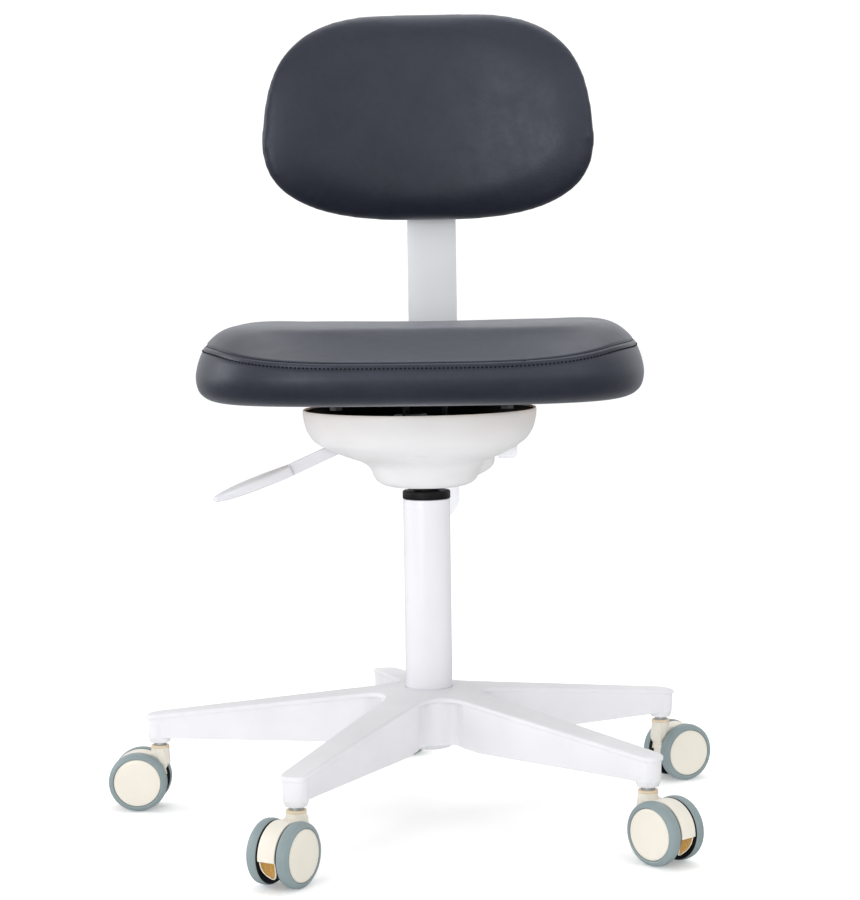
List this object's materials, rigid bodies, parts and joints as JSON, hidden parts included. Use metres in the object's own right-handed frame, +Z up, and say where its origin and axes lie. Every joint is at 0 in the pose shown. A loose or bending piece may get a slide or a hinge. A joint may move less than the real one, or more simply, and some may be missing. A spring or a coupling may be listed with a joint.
{
  "type": "dentist stool",
  "caption": "Swivel stool on a star base with twin-wheel casters, a gas-spring column worked by a side lever, a padded seat and a padded backrest on a flat upright bar.",
  "frame": {"origin": "on the floor under the middle of the stool's overall box; the column's axis stands 19 mm toward +X and 3 mm toward -Y of it", "axes": "+Z up; -Y the way the seat faces; +X the sitter's left, so the height lever points toward -X"},
  "size_m": [0.6642, 0.67, 0.8668],
  "materials": {
    "white_nylon": "smooth white moulded nylon, half gloss",
    "white_tube": "white powder-coated steel tube",
    "white_plastic": "smooth white plastic, half gloss",
    "white_paint": "white powder-coated steel",
    "ivory_plastic": "smooth ivory plastic, half gloss",
    "grey_tyre": "soft blue-grey polyurethane",
    "grey_vinyl": "slate-grey vinyl over foam, fine leather grain",
    "black_plastic": "black moulded plastic",
    "black_steel": "black paint",
    "zinc_steel": "bright zinc plating",
    "polished_steel": "polished steel",
    "plywood": "plain plywood"
  },
  "bodies": {
    "base": {"base_star": "white_nylon", "column_tube": "white_tube", "column_bush": "black_plastic", "thrust_bearing": "zinc_steel", "caster_1_stem": "zinc_steel", "caster_2_stem": "zinc_steel", "caster_3_stem": "zinc_steel", "caster_4_stem": "zinc_steel", "caster_5_stem": "zinc_steel"},
    "gas_rod": {"piston_rod": "polished_steel", "rod_clip": "zinc_steel"},
    "seat_frame": {"gas_cylinder": "black_steel", "mechanism_body": "black_steel", "mechanism_cover": "white_plastic", "seat_board": "plywood", "seat_cushion": "grey_vinyl", "seat_bolt_1": "zinc_steel", "seat_bolt_2": "zinc_steel", "seat_bolt_3": "zinc_steel", "seat_bolt_4": "zinc_steel", "bracket_pivot_pin": "zinc_steel"},
    "lever": {"height_lever": "white_paint", "lever_handle": "white_plastic"},
    "valve": {"valve_pin": "zinc_steel"},
    "back_arm": {"back_bracket": "white_paint"},
    "backrest": {"upright_bar": "white_paint", "backrest_shell": "black_plastic", "backrest_cushion": "grey_vinyl"},
    "clamp": {"clamp_knob": "black_plastic"},
    "tilt_lock": {"tilt_knob": "white_plastic"},
    "caster_1_fork": {"caster_1_housing": "ivory_plastic", "caster_1_axle": "zinc_steel"},
    "caster_1_left": {"caster_1_wheel_l": "ivory_plastic", "caster_1_tyre_l": "grey_tyre"},
    "caster_1_right": {"caster_1_wheel_r": "ivory_plastic", "caster_1_tyre_r": "grey_tyre"},
    "caster_2_fork": {"caster_2_housing": "ivory_plastic", "caster_2_axle": "zinc_steel"},
    "caster_2_left": {"caster_2_wheel_l": "ivory_plastic", "caster_2_tyre_l": "grey_tyre"},
    "caster_2_right": {"caster_2_wheel_r": "ivory_plastic", "caster_2_tyre_r": "grey_tyre"},
    "caster_3_fork": {"caster_3_housing": "ivory_plastic", "caster_3_axle": "zinc_steel"},
    "caster_3_left": {"caster_3_wheel_l": "ivory_plastic", "caster_3_tyre_l": "grey_tyre"},
    "caster_3_right": {"caster_3_wheel_r": "ivory_plastic", "caster_3_tyre_r": "grey_tyre"},
    "caster_4_fork": {"caster_4_housing": "ivory_plastic", "caster_4_axle": "zinc_steel"},
    "caster_4_left": {"caster_4_wheel_l": "ivory_plastic", "caster_4_tyre_l": "grey_tyre"},
    "caster_4_right": {"caster_4_wheel_r": "ivory_plastic", "caster_4_tyre_r": "grey_tyre"},
    "caster_5_fork": {"caster_5_housing": "ivory_plastic", "caster_5_axle": "zinc_steel"},
    "caster_5_left": {"caster_5_wheel_l": "ivory_plastic", "caster_5_tyre_l": "grey_tyre"},
    "caster_5_right": {"caster_5_wheel_r": "ivory_plastic", "caster_5_tyre_r": "grey_tyre"}
  },
  "joints": [
    {"name": "seat_swivel", "type": "hinge", "parent": "base", "child": "gas_rod", "pos_m": [0.019, -0.003, 0.0835], "axis": [0, 0, 1], "continuous": true},
    {"name": "seat_height", "type": "slide", "parent": "gas_rod", "child": "seat_frame", "axis": [0, 0, 1], "range_m": [0, 0.12]},
    {"name": "lever_lift", "type": "hinge", "parent": "seat_frame", "child": "lever", "pos_m": [-0.0015, -0.00588, 0.4243], "axis": [-0.1392, 0.9903, 0], "range_deg": [0, 7], "stiffness_Nm_per_rad": 2},
    {"name": "valve_press", "type": "slide", "parent": "seat_frame", "child": "valve", "axis": [0, 0, -1], "range_m": [0, 0.0026]},
    {"name": "back_tilt", "type": "hinge", "parent": "seat_frame", "child": "back_arm", "pos_m": [0.019, 0.035, 0.3885], "axis": [-1, 0, 0], "range_deg": [0, 15]},
    {"name": "back_height", "type": "slide", "parent": "back_arm", "child": "backrest", "axis": [0, 0, 1], "range_m": [0, 0.08]},
    {"name": "clamp_turn", "type": "hinge", "parent": "back_arm", "child": "clamp", "pos_m": [0.019, 0.233, 0.41], "axis": [0, 1, 0], "range_deg": [0, 360]},
    {"name": "tilt_lock_turn", "type": "hinge", "parent": "seat_frame", "child": "tilt_lock", "pos_m": [0.106, 0.035, 0.3885], "axis": [1, 0, 0], "range_deg": [0, 360]},
    {"name": "caster_1_swivel", "type": "hinge", "parent": "base", "child": "caster_1_fork", "pos_m": [-0.27762, 0.02347, 0.0695], "axis": [0, 0, 1], "continuous": true},
    {"name": "caster_1_left_roll", "type": "hinge", "parent": "caster_1_fork", "child": "caster_1_left", "pos_m": [-0.30012, 0.02347, 0.032], "axis": [0, -1, 0], "continuous": true},
    {"name": "caster_1_right_roll", "type": "hinge", "parent": "caster_1_fork", "child": "caster_1_right", "pos_m": [-0.30012, 0.02347, 0.032], "axis": [0, -1, 0], "continuous": true},
    {"name": "caster_2_swivel", "type": "hinge", "parent": "base", "child": "caster_2_fork", "pos_m": [-0.09784, -0.27692, 0.0695], "axis": [0, 0, 1], "continuous": true},
    {"name": "caster_2_left_roll", "type": "hinge", "parent": "caster_2_fork", "child": "caster_2_left", "pos_m": [-0.10854, -0.29672, 0.032], "axis": [0.8796, -0.4756, 0], "continuous": true},
    {"name": "caster_2_right_roll", "type": "hinge", "parent": "caster_2_fork", "child": "caster_2_right", "pos_m": [-0.10854, -0.29672, 0.032], "axis": [0.8796, -0.4756, 0], "continuous": true},
    {"name": "caster_3_swivel", "type": "hinge", "parent": "base", "child": "caster_3_fork", "pos_m": [0.24341, -0.19877, 0.0695], "axis": [0, 0, 1], "continuous": true},
    {"name": "caster_3_left_roll", "type": "hinge", "parent": "caster_3_fork", "child": "caster_3_left", "pos_m": [0.25932, -0.21468, 0.032], "axis": [0.7071, 0.7071, 0], "continuous": true},
    {"name": "caster_3_right_roll", "type": "hinge", "parent": "caster_3_fork", "child": "caster_3_right", "pos_m": [0.25932, -0.21468, 0.032], "axis": [0.7071, 0.7071, 0], "continuous": true},
    {"name": "caster_4_swivel", "type": "hinge", "parent": "base", "child": "caster_4_fork", "pos_m": [0.27453, 0.14993, 0.0695], "axis": [0, 0, 1], "continuous": true},
    {"name": "caster_4_left_roll", "type": "hinge", "parent": "caster_4_fork", "child": "caster_4_left", "pos_m": [0.29372, 0.16169, 0.032], "axis": [-0.5225, 0.8526, 0], "continuous": true},
    {"name": "caster_4_right_roll", "type": "hinge", "parent": "caster_4_fork", "child": "caster_4_right", "pos_m": [0.29372, 0.16169, 0.032], "axis": [-0.5225, 0.8526, 0], "continuous": true},
    {"name": "caster_5_swivel", "type": "hinge", "parent": "base", "child": "caster_5_fork", "pos_m": [-0.04748, 0.28728, 0.0695], "axis": [0, 0, 1], "continuous": true},
    {"name": "caster_5_left_roll", "type": "hinge", "parent": "caster_5_fork", "child": "caster_5_left", "pos_m": [-0.02826, 0.29897, 0.032], "axis": [-0.5195, 0.8545, 0], "continuous": true},
    {"name": "caster_5_right_roll", "type": "hinge", "parent": "caster_5_fork", "child": "caster_5_right", "pos_m": [-0.02826, 0.29897, 0.032], "axis": [-0.5195, 0.8545, 0], "continuous": true}
  ],
  "couplings": [
    {"joint": "valve_press", "follows": "lever_lift", "m_per_rad": 0.0207}
  ]
}
